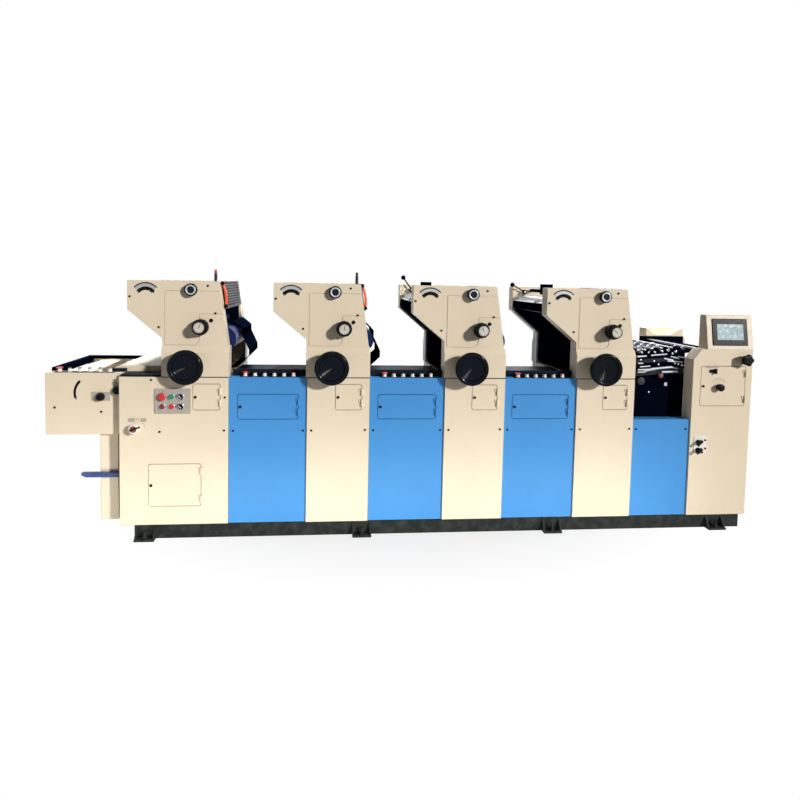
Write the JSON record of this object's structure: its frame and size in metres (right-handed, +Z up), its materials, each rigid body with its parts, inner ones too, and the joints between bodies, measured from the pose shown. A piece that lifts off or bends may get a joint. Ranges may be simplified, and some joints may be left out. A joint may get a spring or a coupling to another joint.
{
  "type": "offset printing press",
  "caption": "Long sheet-fed offset press: overhanging printing units with handwheels on cream and blue cabinets, a delivery at one end and a feeder with a tilted console at the other.",
  "frame": {"origin": "middle of the footprint, on the floor", "axes": "+X along the press from delivery to feeder, +Y from the operator side to the drive side, +Z up"},
  "size_m": [4.536, 0.988, 1.674],
  "materials": {
    "cream_paint": "satin cream enamel",
    "blue_paint": "satin blue enamel",
    "grey_paint": "dark grey paint",
    "black_paint": "black enamel",
    "steel": "ground steel",
    "lever_steel": "plated steel",
    "roller_rubber": "dark roller rubber",
    "hose_plastic": "orange hose",
    "black_plastic": "glossy black",
    "panel_grey": "grey paint",
    "board_wood": "plain board"
  },
  "bodies": {
    "press": {"air_hoses": "hose_plastic", "base_cross_members": "grey_paint", "base_rails": "grey_paint", "blue_panels": "blue_paint", "button_strips": "panel_grey", "console": "cream_paint", "control_panel": "panel_grey", "cylinders": "steel", "damping_guards": "black_paint", "delivery_bars": "steel", "delivery_cabinet": "cream_paint", "delivery_hood": "cream_paint", "delivery_knobs": "black_plastic", "delivery_posts": "cream_paint", "delivery_sides": "cream_paint", "drive_frames": "cream_paint", "feed_board": "black_paint", "feed_guides": "steel", "feed_shafts": "steel", "feed_side_plates": "black_paint", "feeder_bed": "black_paint", "feeder_drive_pillar": "cream_paint", "feeder_head": "black_paint", "feeder_panels": "blue_paint", "feeder_pillar": "cream_paint", "ink_fountains": "black_paint", "ink_rollers": "roller_rubber", "jogger_board": "cream_paint", "levelling_feet": "grey_paint", "lift_guides": "steel", "louvre_covers": "grey_paint", "operator_frames": "cream_paint", "pile_board": "board_wood", "roller_guards": "black_paint", "shaft_caps": "black_plastic", "transfer_decks": "black_paint", "unit_cabinets": "cream_paint"},
    "handwheel_1": {"handwheel_1": "black_plastic"},
    "dial_knob_1": {"dial_knob_1": "black_plastic"},
    "handwheel_2": {"handwheel_2": "black_plastic"},
    "dial_knob_2": {"dial_knob_2": "black_plastic"},
    "handwheel_3": {"handwheel_3": "black_plastic"},
    "dial_knob_3": {"dial_knob_3": "black_plastic"},
    "handwheel_4": {"handwheel_4": "black_plastic"},
    "dial_knob_4": {"dial_knob_4": "black_plastic"},
    "cabinet_door_1": {"cabinet_door_1": "cream_paint"},
    "cabinet_door_2": {"cabinet_door_2": "cream_paint"},
    "cabinet_door_3": {"cabinet_door_3": "cream_paint"},
    "cabinet_door_4": {"cabinet_door_4": "cream_paint"},
    "panel_door_1": {"panel_door_1": "blue_paint"},
    "panel_door_2": {"panel_door_2": "blue_paint"},
    "panel_door_3": {"panel_door_3": "blue_paint"},
    "service_door": {"service_door": "cream_paint"},
    "feeder_door": {"feeder_door": "cream_paint"},
    "ink_lever_3": {"ink_lever_3": "lever_steel"},
    "ink_lever_4": {"ink_lever_4": "lever_steel"},
    "pointer_knob": {"pointer_knob": "black_plastic"},
    "star_knob": {"star_knob": "black_plastic"},
    "pile_fork": {"pile_fork": "blue_paint"}
  },
  "joints": [
    {"name": "handwheel_1_turn", "type": "hinge", "parent": "press", "child": "handwheel_1", "pos_m": [-1.405, -0.392, 1.085], "axis": [0, 1, 0], "continuous": true},
    {"name": "dial_knob_1_turn", "type": "hinge", "parent": "press", "child": "dial_knob_1", "pos_m": [-1.332, -0.372, 1.322], "axis": [0, 1, 0], "continuous": true},
    {"name": "handwheel_2_turn", "type": "hinge", "parent": "press", "child": "handwheel_2", "pos_m": [-0.533, -0.392, 1.085], "axis": [0, 1, 0], "continuous": true},
    {"name": "dial_knob_2_turn", "type": "hinge", "parent": "press", "child": "dial_knob_2", "pos_m": [-0.46, -0.372, 1.322], "axis": [0, 1, 0], "continuous": true},
    {"name": "handwheel_3_turn", "type": "hinge", "parent": "press", "child": "handwheel_3", "pos_m": [0.339, -0.392, 1.085], "axis": [0, 1, 0], "continuous": true},
    {"name": "dial_knob_3_turn", "type": "hinge", "parent": "press", "child": "dial_knob_3", "pos_m": [0.412, -0.372, 1.322], "axis": [0, 1, 0], "continuous": true},
    {"name": "handwheel_4_turn", "type": "hinge", "parent": "press", "child": "handwheel_4", "pos_m": [1.211, -0.392, 1.085], "axis": [0, 1, 0], "continuous": true},
    {"name": "dial_knob_4_turn", "type": "hinge", "parent": "press", "child": "dial_knob_4", "pos_m": [1.284, -0.372, 1.322], "axis": [0, 1, 0], "continuous": true},
    {"name": "cabinet_door_1_hinge", "type": "hinge", "parent": "press", "child": "cabinet_door_1", "pos_m": [-1.2145, -0.398, 0.891], "axis": [0, 0, 1], "range_deg": [0, 110]},
    {"name": "cabinet_door_2_hinge", "type": "hinge", "parent": "press", "child": "cabinet_door_2", "pos_m": [-0.3425, -0.398, 0.891], "axis": [0, 0, 1], "range_deg": [0, 110]},
    {"name": "cabinet_door_3_hinge", "type": "hinge", "parent": "press", "child": "cabinet_door_3", "pos_m": [0.5295, -0.398, 0.891], "axis": [0, 0, 1], "range_deg": [0, 110]},
    {"name": "cabinet_door_4_hinge", "type": "hinge", "parent": "press", "child": "cabinet_door_4", "pos_m": [1.4015, -0.398, 0.891], "axis": [0, 0, 1], "range_deg": [0, 110]},
    {"name": "panel_door_1_hinge", "type": "hinge", "parent": "press", "child": "panel_door_1", "pos_m": [-0.7375, -0.388, 0.8285], "axis": [0, 0, 1], "range_deg": [0, 110]},
    {"name": "panel_door_2_hinge", "type": "hinge", "parent": "press", "child": "panel_door_2", "pos_m": [0.1345, -0.388, 0.8285], "axis": [0, 0, 1], "range_deg": [0, 110]},
    {"name": "panel_door_3_hinge", "type": "hinge", "parent": "press", "child": "panel_door_3", "pos_m": [1.0065, -0.388, 0.8285], "axis": [0, 0, 1], "range_deg": [0, 110]},
    {"name": "service_door_hinge", "type": "hinge", "parent": "press", "child": "service_door", "pos_m": [-1.3275, -0.398, 0.3425], "axis": [0, 0, 1], "range_deg": [0, 110]},
    {"name": "feeder_door_hinge", "type": "hinge", "parent": "press", "child": "feeder_door", "pos_m": [2.2215, -0.398, 0.9685], "axis": [0, 0, 1], "range_deg": [0, 110]},
    {"name": "ink_lever_3_swing", "type": "hinge", "parent": "press", "child": "ink_lever_3", "pos_m": [0.061, 0.324, 1.56], "axis": [0, 1, 0], "range_deg": [-42, 68]},
    {"name": "ink_lever_4_swing", "type": "hinge", "parent": "press", "child": "ink_lever_4", "pos_m": [0.933, 0.324, 1.56], "axis": [0, 1, 0], "range_deg": [-16, 94]},
    {"name": "pointer_knob_turn", "type": "hinge", "parent": "press", "child": "pointer_knob", "pos_m": [-1.717, -0.392, 0.704], "axis": [0, 1, 0], "range_deg": [-60, 60]},
    {"name": "star_knob_turn", "type": "hinge", "parent": "press", "child": "star_knob", "pos_m": [2.201, -0.392, 1.148], "axis": [0, 1, 0], "continuous": true},
    {"name": "pile_fork_lift", "type": "slide", "parent": "press", "child": "pile_fork", "axis": [0, 0, 1], "range_m": [-0.2, 0.2]}
  ]
}
